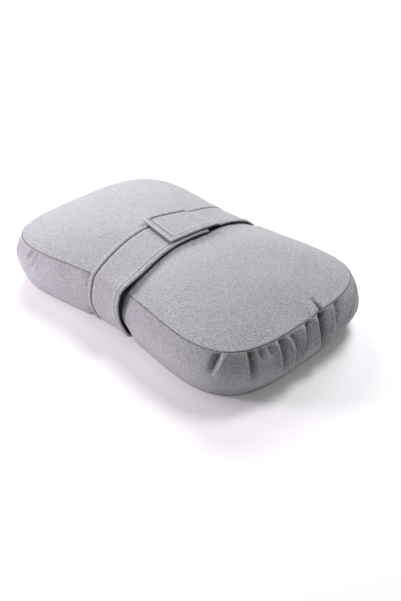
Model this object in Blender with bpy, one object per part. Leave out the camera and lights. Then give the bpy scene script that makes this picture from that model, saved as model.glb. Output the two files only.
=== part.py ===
"""Knee pillow: a waisted, filled cushion with a crowned top and a broad strap round its waist.

Metres, +Z up. The origin is on the surface the pillow lies on, under the middle of it.
X runs along the length, Y across the width. The strap's free end lies on top, near the middle.
"""

import math

import bmesh
import bpy
import numpy as np

# Overall size of the cushion
LENGTH = 0.390
WIDTH = 0.240
CROWN_HEIGHT = 0.081

# Plan outline of the top seam: a squared oval with a waist
END_BULGE = 0.0104
SIDE_BULGE = 0.0078
PLAN_HALF_LENGTH = LENGTH / 2 - END_BULGE
PLAN_HALF_WIDTH = WIDTH / 2
END_SQUARENESS = 5.9
SIDE_SQUARENESS = 3.4
WAIST_DEPTH = 0.157
WAIST_REACH = 0.1073
WAIST_SHARPNESS = 2.17

# Heights of the top seam, the crown and the bottom seam
SEAM_HEIGHT = 0.0558
SEAM_RISE_AT_WAIST = 0.0037
CROWN_FULLNESS = 2.39
STRAP_TROUGH = 0.0025
STRAP_TROUGH_REACH = 0.048
FOOT_HEIGHT = 0.0030
FOOT_INSET = 0.0070
FOOT_TURN = (0.0025, 0.0010)
WAIST_TUCK = 0.0060
WAIST_TUCK_REACH = 0.031

# Shallow arch under the waist, where the strap passes below the cushion
ARCH_HEIGHT = 0.0052
ARCH_HALF_LENGTH = 0.036

# The strap presses both shoulders of the waist in, the far one more
SQUEEZE_DEPTH = 0.0065
SQUEEZE_CENTRE = -0.005
SQUEEZE_HALF_LENGTH = 0.032
SQUEEZE_INWARD = 0.010
SQUEEZE_DROP = 0.020
SQUEEZE_SIDE = 0.060
SQUEEZE_NEAR_SHARE = 0.3

# The sewn seam is a fine groove: how far it is drawn in, and how far below the outline's height
SEAM_DRAWN_IN = 0.00096
SEAM_SUNK = 0.00072

# Strap: a folded band with bound edges. The edge's shape is given as the distance in from the
# strap's rim and the share of half the hem's thickness there.
STRAP_BODY = 0.0024
STRAP_HEM = 0.0034
STRAP_EDGE = ((0.0, 0.0), (0.0006, 0.62), (0.0019, 0.94), (0.0034, 1.0), (0.0048, 0.84))
HEM_INNER_LINE = 0.0060
HEM_INNER_SHARE = 0.9
STRAP_USUAL_HALF_WIDTH = 0.0275
STRAP_CLEARANCE = 0.0025
LAYER_RISE = 0.0038
LOWER_END = -0.029
OVERLAP = 0.0205
STEP_LENGTH = 0.018
STEP_SLOPE_SHARE = 0.8
NEAR_REACH = (-0.031, 0.026)
FAR_REACH = (-0.031, 0.023)
SHOULDER_GAP = 0.0055
SHOULDER_GAP_AT = 0.122
SHOULDER_GAP_LENGTH = 0.030
RIM_LIFT = 0.0007
RIM_LIFT_FROM = 0.012
RIM_LIFT_OVER = 0.020
ROUTE_ROUNDING = 0.004
NORMAL_ROUNDING_STEPS = 8

# Mesh counts, with the columns closer together at the two ends, most of all at the gathered one
OUTLINE_POINTS = 8001
EVEN_POINTS = 4001
COLUMNS = 200
GATHERED_END_CROWDING = 2.2
GATHERED_END_REACH = 0.13
OTHER_END_CROWDING = 0.7
OTHER_END_REACH = 0.14
SECTION_SLICES = 7
SECTION_TOP_POINTS = 40
SECTION_BAND_POINTS = 25
RUNGS = 8
TOP_SCALES = (0.16, 0.34, 0.50, 0.64, 0.76, 0.86, 0.93, 0.972, 0.993)
BAND_DROPS = (0.03, 0.09, 0.17, 0.26, 0.36, 0.47, 0.58, 0.70, 0.82, 0.92, 1.0)
STRAP_STATIONS = 84
ROUTE_STEPS = 1200

# Gathers in the side band: a ridge with a trough beside it, on the side given by 1 or -1. They
# are measured along the top seam from the middle of the +X end, and positive is towards +Y.
# Lean and bow are the drift along the seam from top to foot. A gather comes in over a short drop
# and fades out over the last part of its own length. Its ridge widens on the way down, and its
# trough is steep beside the ridge and gentle on the other side.
GATHER_IN_OVER = 0.09
GATHER_FADES_FROM = 0.45
RIDGE_WIDTHS = (0.75, 1.35)
TROUGH_PLACE = 1.2
TROUGH_WIDTHS = (0.85, 0.50)
TROUGH_GENTLE_SIDE = 2.0
GATHER_COLUMNS = (
    "along", "lean", "bow", "half_width", "ridge", "trough", "side", "start", "end")
GATHERS = (
    (-0.1060, -0.0170, 0.000, 0.0050, 0.0014, 0.0038, -1, 0.00, 0.50),
    (-0.0870, 0.0010, 0.000, 0.0050, 0.0011, 0.0038, 1, 0.00, 0.68),
    (-0.0522, 0.0000, -0.004, 0.0052, 0.0024, 0.0036, 1, 0.00, 0.96),
    (-0.0375, -0.0250, 0.030, 0.0060, 0.0010, 0.0006, 1, 0.02, 0.94),
    (-0.0125, -0.0300, 0.002, 0.0065, 0.0024, 0.0034, 1, 0.00, 1.02),
    (0.0080, 0.0020, -0.024, 0.0062, 0.0026, 0.0052, 1, 0.00, 1.00),
    (0.0355, -0.0050, -0.020, 0.0060, 0.0020, 0.0026, 1, 0.00, 0.66),
    (0.0860, -0.0900, 0.000, 0.0110, 0.0018, 0.0020, 1, 0.10, 0.74),
    (0.0520, -0.0280, 0.000, 0.0090, 0.0018, 0.0028, -1, 0.50, 1.12),
    (0.0920, -0.0200, 0.000, 0.0090, 0.0012, 0.0016, 1, 0.30, 1.10),
    (0.1240, -0.0300, 0.000, 0.0070, 0.0010, 0.0018, 1, 0.30, 1.05),
    (-0.3760, -0.0220, 0.000, 0.0060, 0.0012, 0.0022, -1, 0.00, 0.58),
    (-0.4160, 0.0060, 0.000, 0.0060, 0.0008, 0.0018, -1, 0.03, 0.58),
    (-0.4550, 0.0030, 0.000, 0.0060, 0.0014, 0.0020, 1, 0.00, 0.62),
    (-0.4900, -0.0030, 0.002, 0.0062, 0.0018, 0.0020, -1, 0.02, 0.72),
    (-0.5180, 0.0040, 0.002, 0.0060, 0.0016, 0.0022, 1, 0.00, 0.76),
    (0.5050, -0.0050, 0.000, 0.0060, 0.0014, 0.0018, 1, 0.00, 0.52),
    (0.4700, 0.0040, 0.000, 0.0060, 0.0013, 0.0020, -1, 0.00, 0.56),
)

# Short creases in the top panel that run into the seam
CREASE_COLUMNS = ("along", "lean", "half_width", "height", "inward")
CREASES = (
    (0.0178, 0.012, 0.0032, -0.0030, 0.0240),
    (0.0115, 0.015, 0.0032, 0.0014, 0.0240),
    (0.0005, 0.009, 0.0035, -0.0012, 0.0140),
)

# Strap along its route: distance from the middle of the top, towards -Y, then under and back.
# Distances after the overlap are measured back from the full turn and are marked by a turn of 1.
STRAP_COLUMNS = ("turn", "along", "centre", "width")
STRAP_TABLE = (
    (0, -0.030, -0.0005, 0.0478),
    (0, -0.014, -0.0037, 0.0498),
    (0, 0.004, -0.0070, 0.0529),
    (0, 0.022, -0.0093, 0.0559),
    (0, 0.044, -0.0086, 0.0567),
    (0, 0.070, -0.0059, 0.0567),
    (0, 0.092, -0.0036, 0.0559),
    (0, 0.112, -0.0025, 0.0534),
    (0, 0.135, -0.0009, 0.0527),
    (0, 0.165, -0.0001, 0.0522),
    (0, 0.280, 0.0000, 0.0520),
    (1, -0.150, -0.0025, 0.0515),
    (1, -0.110, -0.0034, 0.0525),
    (1, -0.086, -0.0045, 0.0525),
    (1, -0.062, -0.0063, 0.0510),
    (1, -0.044, -0.0061, 0.0510),
    (1, -0.032, -0.0051, 0.0520),
    (1, -0.018, -0.0077, 0.0545),
    (1, -0.004, -0.0111, 0.0580),
    (1, 0.012, -0.0142, 0.0605),
    (1, 0.024, -0.0165, 0.0615),
)

CUSHION_COLOUR = (0.52, 0.50, 0.53, 1.0)
STRAP_COLOUR = (0.50, 0.48, 0.51, 1.0)
CLOTH_ROUGHNESS = 0.95


def smooth_step(value):
    """Rise from 0 to 1 as value goes from 0 to 1, level at both ends."""
    t = np.clip(value, 0.0, 1.0)
    return t * t * (3.0 - 2.0 * t)


def waist_factor(x):
    """Share of the full width that is left at length x."""
    return 1.0 - WAIST_DEPTH * np.exp(-((np.abs(x) / WAIST_REACH) ** WAIST_SHARPNESS))


def edge_half_width(x):
    """Half the width of the seam's plan outline at length x."""
    end = np.clip(1.0 - np.abs(x / PLAN_HALF_LENGTH) ** END_SQUARENESS, 0.0, 1.0)
    return PLAN_HALF_WIDTH * waist_factor(x) * end ** (1.0 / SIDE_SQUARENESS)


def seam_height(x):
    """Height of the top seam, a little higher over the waist."""
    return SEAM_HEIGHT + SEAM_RISE_AT_WAIST * np.exp(-((x / WAIST_REACH) ** 2))


def crown_top(x):
    """Height of the crown's middle line, pressed down a little under the strap."""
    return CROWN_HEIGHT - STRAP_TROUGH * np.exp(-((x / STRAP_TROUGH_REACH) ** 4))


def arch_height(x):
    """Height of the underside: zero on the two lobes and a low arch under the waist."""
    return ARCH_HEIGHT * np.exp(-((x / ARCH_HALF_LENGTH) ** 10))


def strap_squeeze(x, y, drop):
    """How far the strap presses the shoulders in, at a drop below the top seam, which is
    negative on the top panel."""
    under_strap = np.exp(-(((x - SQUEEZE_CENTRE) / SQUEEZE_HALF_LENGTH) ** 12))
    share = smooth_step(y / SQUEEZE_SIDE) + SQUEEZE_NEAR_SHARE * smooth_step(-y / SQUEEZE_SIDE)
    reach = np.where(drop < 0.0, SQUEEZE_INWARD, SQUEEZE_DROP)
    return SQUEEZE_DEPTH * under_strap * share * np.exp(-((drop / reach) ** 2))


def band_offset(v, bulge, x):
    """How far the side band stands out from the seam's outline, v going from 0 at the top to 1."""
    tuck = WAIST_TUCK * np.exp(-((x / WAIST_TUCK_REACH) ** 6))
    return bulge * np.sin(math.pi * v ** 0.92) - tuck * v ** 2


def plan_outline():
    """Closed outline of the seam: position, outward normal and distance along it from the +X end."""
    t = np.linspace(-math.pi, math.pi, OUTLINE_POINTS)
    cos_t, sin_t = np.cos(t), np.sin(t)
    x = PLAN_HALF_LENGTH * np.sign(cos_t) * np.abs(cos_t) ** (2.0 / END_SQUARENESS)
    y = PLAN_HALF_WIDTH * waist_factor(x) * np.sign(sin_t) * np.abs(sin_t) ** (2.0 / SIDE_SQUARENESS)
    steps = np.hypot(np.diff(x), np.diff(y))
    along = np.concatenate([[0.0], np.cumsum(steps)])
    along -= np.interp(0.0, t, along)
    even = np.linspace(along[0], along[-1], EVEN_POINTS)
    x, y = np.interp(even, along, x), np.interp(even, along, y)
    tangent_x, tangent_y = np.gradient(x), np.gradient(y)
    size = np.hypot(tangent_x, tangent_y)
    return even, x, y, tangent_y / size, -tangent_x / size


def column_places(half_perimeter):
    """Distances along the seam, closer together at the gathered end and round the corners."""
    fine = np.linspace(0.0, half_perimeter, EVEN_POINTS)
    weight = 1.0 + GATHERED_END_CROWDING * np.exp(-((fine / GATHERED_END_REACH) ** 4))
    from_other_end = half_perimeter - fine
    weight += OTHER_END_CROWDING * np.exp(-((from_other_end / OTHER_END_REACH) ** 4))
    filled = np.concatenate([[0.0], np.cumsum((weight[1:] + weight[:-1]) / 2)])
    half = np.interp(np.linspace(0.0, filled[-1], COLUMNS // 2 + 1), filled, fine)
    return np.concatenate([half, -half[-2:0:-1]])


def gather_relief(along, v, perimeter):
    """Height of the gathers in the side band at a distance along the seam and a drop v."""
    relief = np.zeros(np.broadcast(along, v).shape)
    for row in GATHERS:
        fold = dict(zip(GATHER_COLUMNS, row))
        drift = fold["lean"] * v + fold["bow"] * v * (1.0 - v)
        gap = (along - fold["along"] - drift + perimeter / 2) % perimeter - perimeter / 2
        down = min(v / fold["end"], 1.0)
        rise = smooth_step((v - fold["start"] + 0.01) / GATHER_IN_OVER)
        faded = (v / fold["end"] - GATHER_FADES_FROM) / (1.0 - GATHER_FADES_FROM)
        fall = 1.0 - smooth_step(faded)
        crest = fold["half_width"] * np.interp(down, (0.0, 1.0), RIDGE_WIDTHS)
        ridge = fold["ridge"] * np.exp(-((gap / crest) ** 2))
        beside = gap * fold["side"] - TROUGH_PLACE * fold["half_width"]
        steep = fold["half_width"] * np.interp(down, (0.0, 1.0), TROUGH_WIDTHS)
        reach = np.where(beside < 0.0, steep, TROUGH_GENTLE_SIDE * steep)
        trough = fold["trough"] * np.exp(-((beside / reach) ** 2))
        relief = relief + (ridge - trough) * rise * fall
    return relief


def crease_relief(along, inward):
    """Height of the short creases in the top panel at a distance inward from the seam."""
    relief = np.zeros(np.broadcast(along, inward).shape)
    for row in CREASES:
        fold = dict(zip(CREASE_COLUMNS, row))
        gap = along - fold["along"] - fold["lean"] * inward / fold["inward"]
        across = np.exp(-((gap / fold["half_width"]) ** 2))
        relief = relief + fold["height"] * across * (1.0 - smooth_step(inward / fold["inward"]))
    return relief


class Cushion:
    """The cushion's surface, read at a set of places along its seam."""

    def __init__(self):
        even, x, y, normal_x, normal_y = plan_outline()
        self.perimeter = even[-1] - even[0]
        self.along = column_places(self.perimeter / 2)
        self.x = np.interp(self.along, even, x)
        self.y = np.interp(self.along, even, y)
        self.normal_x = np.interp(self.along, even, normal_x)
        self.normal_y = np.interp(self.along, even, normal_y)
        share = np.abs(self.normal_x)
        self.bulge = END_BULGE * share + SIDE_BULGE * (1.0 - share)

    def top_ring(self, rho):
        """Ring of the crowned top panel: the outline scaled by rho, on the crown."""
        x, y = self.x * rho, self.y * rho
        seam = seam_height(self.x)
        z = seam + (crown_top(x) - seam) * (1.0 - rho ** CROWN_FULLNESS)
        inward = (1.0 - rho) * np.hypot(self.x, self.y)
        z = z + crease_relief(self.along, inward)
        return self.pressed(x, y, z, -inward)

    def pressed(self, x, y, z, drop):
        """Points with the shoulders pressed inward and down, evenly, under the strap."""
        press = strap_squeeze(x, y, drop) * math.sqrt(0.5)
        return np.stack([x, y - np.sign(y) * press, z - press], axis=1)

    def seam_ring(self):
        """Ring of the sewn seam, drawn in below the two cloths that it joins."""
        x = self.x - self.normal_x * SEAM_DRAWN_IN
        y = self.y - self.normal_y * SEAM_DRAWN_IN
        return self.pressed(x, y, seam_height(self.x) - SEAM_SUNK, 0.0)

    def band_ring(self, v):
        """Ring of the side band at a drop v, with its bulge and its gathers."""
        out = band_offset(v, self.bulge, self.x)
        out = out + gather_relief(self.along, v, self.perimeter)
        foot = FOOT_HEIGHT + arch_height(self.x)
        z = seam_height(self.x) * (1.0 - v) + foot * v
        x, y = self.x + self.normal_x * out, self.y + self.normal_y * out
        return self.pressed(x, y, z, v * (seam_height(self.x) - foot))

    def floor_ring(self, inset, height):
        """Ring where the underside turns in below the bottom seam."""
        out = band_offset(1.0, self.bulge, self.x) - inset
        z = height + arch_height(self.x)
        return np.stack([self.x + self.normal_x * out, self.y + self.normal_y * out, z], axis=1)


def add_ring(mesh, points):
    """Add one loop of vertices."""
    return [mesh.verts.new(point) for point in points]


def join_rings(mesh, upper, lower):
    """Join two loops of the same count with four-sided faces."""
    count = len(upper)
    for i in range(count):
        after = (i + 1) % count
        mesh.faces.new((upper[i], lower[i], lower[after], upper[after]))


def close_underside(mesh, ring):
    """Close the underside with rungs that run straight across the width."""
    count = len(ring)
    half = count // 2
    rungs = [[ring[0]]]
    for i in range(1, half):
        front, back = ring[i], ring[count - i]
        rung = [front]
        for step in range(1, RUNGS):
            point = front.co.lerp(back.co, step / RUNGS)
            rung.append(mesh.verts.new(point))
        rung.append(back)
        rungs.append(rung)
    rungs.append([ring[half]])
    for low, high in zip(rungs[:-1], rungs[1:]):
        if len(low) == 1 or len(high) == 1:
            tip, rung = (low[0], high) if len(low) == 1 else (high[0], low)
            for a, b in zip(rung[:-1], rung[1:]):
                mesh.faces.new((tip, a, b))
        else:
            for k in range(RUNGS):
                mesh.faces.new((low[k], low[k + 1], high[k + 1], high[k]))


def cushion_mesh():
    """Filled cushion: crowned top panel, seam, gathered side band and flat underside."""
    shape = Cushion()
    mesh = bmesh.new()
    rings = [shape.top_ring(rho) for rho in TOP_SCALES]
    rings.append(shape.seam_ring())
    rings += [shape.band_ring(v) for v in BAND_DROPS]
    rings.append(shape.floor_ring(*FOOT_TURN))
    rings.append(shape.floor_ring(FOOT_INSET, 0.0))
    loops = [add_ring(mesh, ring) for ring in rings]
    middle = mesh.verts.new((0.0, 0.0, crown_top(0.0)))
    first = loops[0]
    for i in range(len(first)):
        mesh.faces.new((middle, first[i], first[(i + 1) % len(first)]))
    for upper, lower in zip(loops[:-1], loops[1:]):
        join_rings(mesh, upper, lower)
    close_underside(mesh, loops[-1])
    bmesh.ops.recalc_face_normals(mesh, faces=mesh.faces)
    return mesh


def waist_section(x, side):
    """Cross-section at length x of the near half (side -1) or the far half (side 1)."""
    edge = edge_half_width(x)
    across = np.linspace(0.0, edge, SECTION_TOP_POINTS)
    seam = seam_height(x)
    top = seam + (crown_top(x) - seam) * (1.0 - (across / edge) ** CROWN_FULLNESS)
    v = np.linspace(0.0, 1.0, SECTION_BAND_POINTS)
    out = edge + band_offset(v, SIDE_BULGE, x)
    foot = FOOT_HEIGHT + arch_height(x)
    band = seam * (1.0 - v) + foot * v
    drop = np.concatenate([across - edge, v * (seam - foot)])
    y, z = side * np.concatenate([across, out]), np.concatenate([top, band])
    press = strap_squeeze(x, y, drop) * math.sqrt(0.5)
    under_y = side * np.array([out[-1] - FOOT_INSET, 0.0])
    under_z = np.full(2, arch_height(0.0))
    y, z = np.append(y - side * press, under_y), np.append(z - press, under_z)
    return np.stack([y, z], axis=1)


def cross(origin, first, second):
    """Turn made by three points in a plane, positive to the left."""
    a, b = first - origin, second - origin
    return a[0] * b[1] - a[1] * b[0]


def outer_hull(points):
    """Convex outline of points in a plane, going round to the left."""
    ordered = points[np.lexsort((points[:, 1], points[:, 0]))]
    halves = []
    for run in (ordered, ordered[::-1]):
        chain = []
        for point in run:
            while len(chain) > 1 and cross(chain[-2], chain[-1], point) <= 1e-12:
                chain.pop()
            chain.append(point)
        halves += chain[:-1]
    return np.array(halves)


def rounded_offset(outline, distance):
    """Move a convex outline outward, with its corners rounded."""
    moved = []
    count = len(outline)
    for i in range(count):
        before, here, after = outline[i - 1], outline[i], outline[(i + 1) % count]
        angles = []
        for edge in (here - before, after - here):
            angles.append(math.atan2(-edge[0], edge[1]))
        if angles[1] < angles[0]:
            angles[1] += 2 * math.pi
        turns = max(1, int((angles[1] - angles[0]) / 0.1))
        for angle in np.linspace(angles[0], angles[1], turns + 1):
            moved.append(here + distance * np.array([math.cos(angle), math.sin(angle)]))
    return np.array(moved)


def rounded(series, length):
    """Even out a closed series over a few millimetres, so that the strap turns in a curve."""
    gaps = np.arange(ROUTE_STEPS) * length / ROUTE_STEPS
    gaps = np.minimum(gaps, length - gaps)
    weight = np.exp(-((gaps / ROUTE_ROUNDING) ** 2))
    blend = np.fft.rfft(series) * np.fft.rfft(weight / weight.sum())
    return np.fft.irfft(blend, ROUTE_STEPS)


class StrapRoute:
    """The way the strap goes round the waist: towards -Y over the top, down, under and back up."""

    def __init__(self):
        points = [waist_section(x, -1.0) for x in np.linspace(*NEAR_REACH, SECTION_SLICES)]
        points += [waist_section(x, 1.0) for x in np.linspace(*FAR_REACH, SECTION_SLICES)]
        outline = rounded_offset(outer_hull(np.concatenate(points)), STRAP_CLEARANCE)
        closed = np.concatenate([outline, outline[:1]])
        along = np.concatenate([[0.0], np.cumsum(np.hypot(*np.diff(closed, axis=0).T))])
        self.length = along[-1]
        even = np.linspace(0.0, self.length, ROUTE_STEPS + 1)[:-1]
        y = rounded(np.interp(even, along, closed[:, 0]), self.length)
        z = rounded(np.interp(even, along, closed[:, 1]), self.length)
        start = int(np.argmin(np.abs(y) + (z < CROWN_HEIGHT / 2)))
        self.y, self.z = np.roll(y, -start), np.roll(z, -start)
        if self.y[10] > 0:
            self.y, self.z = np.roll(self.y[::-1], 1), np.roll(self.z[::-1], 1)
        self.soften()

    def soften(self):
        """Find the outward normals and even them out over a few millimetres."""
        tangent_y = np.roll(self.y, -1) - np.roll(self.y, 1)
        tangent_z = np.roll(self.z, -1) - np.roll(self.z, 1)
        normal_y, normal_z = tangent_z, -tangent_y
        spread = range(-NORMAL_ROUNDING_STEPS, NORMAL_ROUNDING_STEPS + 1)
        normal_y = sum(np.roll(normal_y, k) for k in spread)
        normal_z = sum(np.roll(normal_z, k) for k in spread)
        size = np.hypot(normal_y, normal_z)
        self.normal_y, self.normal_z = normal_y / size, normal_z / size
        self.turn_outward()

    def turn_outward(self):
        """Make the normals point away from the middle of the cushion."""
        facing = self.normal_y * self.y + self.normal_z * (self.z - CROWN_HEIGHT / 2)
        if facing.sum() < 0:
            self.normal_y, self.normal_z = -self.normal_y, -self.normal_z

    def read(self, along):
        """Position and outward normal at distances along the route, which repeats every turn."""
        place = (along % self.length) / self.length * ROUTE_STEPS
        knots = np.arange(ROUTE_STEPS + 1)
        values = []
        for series in (self.y, self.z, self.normal_y, self.normal_z):
            values.append(np.interp(place, knots, np.append(series, series[0])))
        return values


def strap_profile():
    """Across the strap: place from -1 to 1 and half the thickness there, with bound edges."""
    half_hem, half_body = STRAP_HEM / 2, STRAP_BODY / 2
    edge = [(reach / STRAP_USUAL_HALF_WIDTH, share * half_hem) for reach, share in STRAP_EDGE]
    edge.append((HEM_INNER_LINE / STRAP_USUAL_HALF_WIDTH, half_body * HEM_INNER_SHARE))
    side = [(-1.0 + inward, thick) for inward, thick in edge] + [(-0.45, half_body)]
    other = [(-place, thick) for place, thick in reversed(side)]
    return side + [(0.0, half_body)] + other


def strap_grid(route):
    """Points of the strap's closed cross-section at each station along it."""
    table = [dict(zip(STRAP_COLUMNS, row)) for row in STRAP_TABLE]
    knots = np.array([row["turn"] * route.length + row["along"] for row in table])
    along = np.linspace(LOWER_END, route.length + OVERLAP, STRAP_STATIONS)
    centres = np.array([row["centre"] for row in table])
    centre = eased(along, knots, centres)
    width = eased(along, knots, np.array([row["width"] for row in table]))
    slope = np.gradient(centre, along)
    profile = strap_profile()
    underneath = [(place, -thick) for place, thick in reversed(profile[1:-1])]
    sections = []
    for place, thick in profile + underneath:
        half = place * width / 2
        lean = np.sqrt(1.0 + slope ** 2)
        x = centre + half / lean
        s = along - half * slope / lean
        y, z, normal_y, normal_z = route.read(s)
        over = (s - (route.length + LOWER_END - STEP_LENGTH)) / (STEP_LENGTH * STEP_SLOPE_SHARE)
        lift = LAYER_RISE * smooth_step(over)
        near = np.exp(-(((s - SHOULDER_GAP_AT) / SHOULDER_GAP_LENGTH) ** 2))
        lift = lift + SHOULDER_GAP * near * ((1.0 + place) / 2) ** 2
        high = smooth_step((z - RIM_LIFT_FROM) / RIM_LIFT_OVER)
        lift = lift + RIM_LIFT * high * ((1.0 + place) / 2) ** 4
        out = lift + thick
        sections.append(np.stack([x, y + normal_y * out, z + normal_z * out], axis=1))
    return np.stack(sections, axis=1)


def eased(at, knots, values):
    """Read a table at the given places with a smooth curve through its rows."""
    slopes = np.gradient(values, knots)
    index = np.clip(np.searchsorted(knots, at) - 1, 0, len(knots) - 2)
    step = knots[index + 1] - knots[index]
    t = np.clip((at - knots[index]) / step, 0.0, 1.0)
    start, end = values[index], values[index + 1]
    rise_in, rise_out = slopes[index] * step, slopes[index + 1] * step
    t2, t3 = t * t, t * t * t
    smooth = (2 * t3 - 3 * t2 + 1) * start + (3 * t2 - 2 * t3) * end
    return smooth + (t3 - 2 * t2 + t) * rise_in + (t3 - t2) * rise_out


def strap_mesh():
    """Strap: one band, its two ends lapped on top, the free end above."""
    grid = strap_grid(StrapRoute())
    mesh = bmesh.new()
    loops = [add_ring(mesh, section) for section in grid]
    for upper, lower in zip(loops[:-1], loops[1:]):
        join_rings(mesh, upper, lower)
    for loop in (loops[0], loops[-1]):
        close_end(mesh, loop)
    bmesh.ops.recalc_face_normals(mesh, faces=mesh.faces)
    return mesh


def close_end(mesh, loop):
    """Close one end of the strap with faces from its upper to its lower side."""
    count = len(loop)
    half = count // 2
    for i in range(half):
        near, far = (count - i) % count, count - i - 1
        corners = [loop[i], loop[i + 1], loop[far], loop[near]]
        corners = list(dict.fromkeys(corners))
        if len(corners) > 2:
            mesh.faces.new(corners)


def cloth_material(name, colour):
    """Matt short-pile cloth."""
    material = bpy.data.materials.new(name)
    material.use_nodes = True
    shader = material.node_tree.nodes["Principled BSDF"]
    shader.inputs["Base Color"].default_value = colour
    shader.inputs["Roughness"].default_value = CLOTH_ROUGHNESS
    shader.inputs["Metallic"].default_value = 0.0
    return material


def add_piece(name, mesh, colour):
    """Make an object of a finished shape and give it its cloth."""
    data = bpy.data.meshes.new(name)
    mesh.to_mesh(data)
    mesh.free()
    data.shade_smooth()
    data.materials.append(cloth_material(name + "_cloth", colour))
    piece = bpy.data.objects.new(name, data)
    bpy.context.scene.collection.objects.link(piece)
    return piece


def main():
    for old in list(bpy.data.objects):
        bpy.data.objects.remove(old, do_unlink=True)
    add_piece("pillow", cushion_mesh(), CUSHION_COLOUR)
    add_piece("strap", strap_mesh(), STRAP_COLOUR)


main()
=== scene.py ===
"""Knee pillow: plush cover with gathered side band, bound strap, stitching and a pale stage."""

import math

import bpy
import numpy as np
from mathutils import Matrix


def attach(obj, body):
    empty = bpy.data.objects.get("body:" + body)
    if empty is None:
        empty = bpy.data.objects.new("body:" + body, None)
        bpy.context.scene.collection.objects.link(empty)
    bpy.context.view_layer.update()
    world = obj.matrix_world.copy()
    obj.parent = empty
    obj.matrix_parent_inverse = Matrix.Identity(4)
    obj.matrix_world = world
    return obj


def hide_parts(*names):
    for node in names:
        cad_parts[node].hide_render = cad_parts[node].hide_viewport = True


bl_info = {
    "name": "Knee Pillow",
    "version": (1, 0, 0),
    "blender": (4, 5, 0),
    "location": "View3D > Sidebar > Knee Pillow",
    "description": "Makes a waisted knee pillow with a gathered plush cover and a lapped strap",
    "category": "Object",
}

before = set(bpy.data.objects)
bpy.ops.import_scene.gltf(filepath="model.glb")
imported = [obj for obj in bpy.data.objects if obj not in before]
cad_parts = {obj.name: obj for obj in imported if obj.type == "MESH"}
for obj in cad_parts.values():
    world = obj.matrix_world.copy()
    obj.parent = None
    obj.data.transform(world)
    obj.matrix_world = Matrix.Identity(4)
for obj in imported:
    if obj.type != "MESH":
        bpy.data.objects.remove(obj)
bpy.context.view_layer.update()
MM = 0.001

# Plan outline of the top seam: a squared oval with a waist
END_BULGE = 10.4 * MM
SIDE_BULGE = 7.8 * MM
BULGE_POWER = 0.92
END_SQUARENESS = 5.9
SIDE_SQUARENESS = 3.4
WAIST_REACH = 107.3 * MM
WAIST_SHARPNESS = 2.17

# Crown, foot and the low arch under the waist. A higher power gives a dip or a bump that is
# flatter in the middle and steeper at its sides.
CROWN_FULLNESS = 2.39
SEAM_RISE_AT_WAIST = 3.7 * MM
TROUGH_DEPTH = 2.5 * MM
TROUGH_REACH = 48 * MM
TROUGH_POWER = 4
FOOT_HEIGHT = 3.0 * MM
FOOT_INSET = 7.0 * MM
WAIST_TUCK = 6.0 * MM
WAIST_TUCK_REACH = 31 * MM
WAIST_TUCK_POWER = 6
ARCH_HEIGHT = 5.2 * MM
ARCH_HALF_LENGTH = 36 * MM
ARCH_POWER = 10

# Gentle unevenness of the filling: height, size of the waves and seed. On top it grows over some
# way in from the seam. Each wave has its own share of the size.
TOP_ROLL = (0.35 * MM, 70 * MM, 3)
TOP_ROLL_FROM_SEAM = 30 * MM
BAND_ROLL = (0.45 * MM, 34 * MM, 5)
ROLL_WAVES = 8
ROLL_SHARES = (0.7, 1.5)

# The strap presses both shoulders of the waist in, the far one more
SQUEEZE_DEPTH = 6.5 * MM
SQUEEZE_CENTRE = -5 * MM
SQUEEZE_HALF_LENGTH = 32 * MM
SQUEEZE_POWER = 12
SQUEEZE_INWARD = 10 * MM
SQUEEZE_DROP = 20 * MM
SQUEEZE_SIDE = 60 * MM
SQUEEZE_NEAR_SHARE = 0.3

# Seams: the groove and the soft lips beside it. The shares tell how far the groove goes inward
# along the floor and how far up or down: on the top panel, at the top of the band and at its foot.
SEAM_DEPTH = 1.2 * MM
SEAM_HALF_WIDTH = 0.55 * MM
LIP_HEIGHT = 0.15 * MM
LIP_PLACE = 2.6 * MM
LIP_HALF_WIDTH = 1.5 * MM
TOP_SEAM_SHARES = (0.6, 0.8)
BAND_SEAM_SHARES = (0.6, 0.2)
FOOT_SEAM_SHARES = (0.8, 0.2)
FOOT_SEAM_DEPTH = 0.8
UNDER_SEAM_SHARE = 0.5
# Painted shade along the seams, partly their dark joint: its half width and strength
SEAM_SHADE_WIDTH = 0.5 * MM
SEAM_SHADE = 0.8

# Seams and folds keep their depth in an attribute of painted shading. It darkens the cloth's colour
# there with painted shade, at seams partly their dark joint, and lightens it on crests with a painted
# highlight. A fold of the given depth is as dark as the painted shade gets.
PAINTED_SHADING = "painted_shading"
FOLD_DARKENS = 5.2 * MM
CREST_LINE_WIDTH = 1.4
CREST_LINE_SHADE = 1.0
CREST_LINE_FULL_RIDGE = 3.0
# Colour factors of the deepest painted shade and of the brightest painted highlight
CREVICE_SHADE = 0.28
CREST_SHADE = 1.55

# The cloth also gets painted shade under the strap and just beyond its edges, less so low down
STRAP_SHADE_BEYOND = 0.8 * MM
STRAP_SHADE_FADE = 1.6 * MM
STRAP_SHADE_SHORT = 10 * MM
STRAP_SHADE_FULL_AT = 42 * MM
STRAP_REACH = 60 * MM

# Strap's route and lap
STRAP_CLEARANCE = 2.5 * MM
NEAR_REACH = (-31 * MM, 26 * MM)
FAR_REACH = (-31 * MM, 23 * MM)
LAYER_RISE = 3.8 * MM
LOWER_END = -29 * MM
OVERLAP = 20.5 * MM
STEP_LENGTH = 18 * MM
SHOULDER_GAP = 5.5 * MM
SHOULDER_GAP_AT = 113 * MM
SHOULDER_GAP_LENGTH = 22 * MM
RIM_LIFT = 0.2 * MM
RIM_LIFT_FROM = 12 * MM
RIM_LIFT_OVER = 20 * MM
ROUTE_ROUNDING = 4 * MM
ROUTE_STEPS = 2400
NORMAL_ROUNDING_STEPS = 16
CORNER_STEP = 0.05
STEP_SLOPE_SHARE = 0.8

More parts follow.
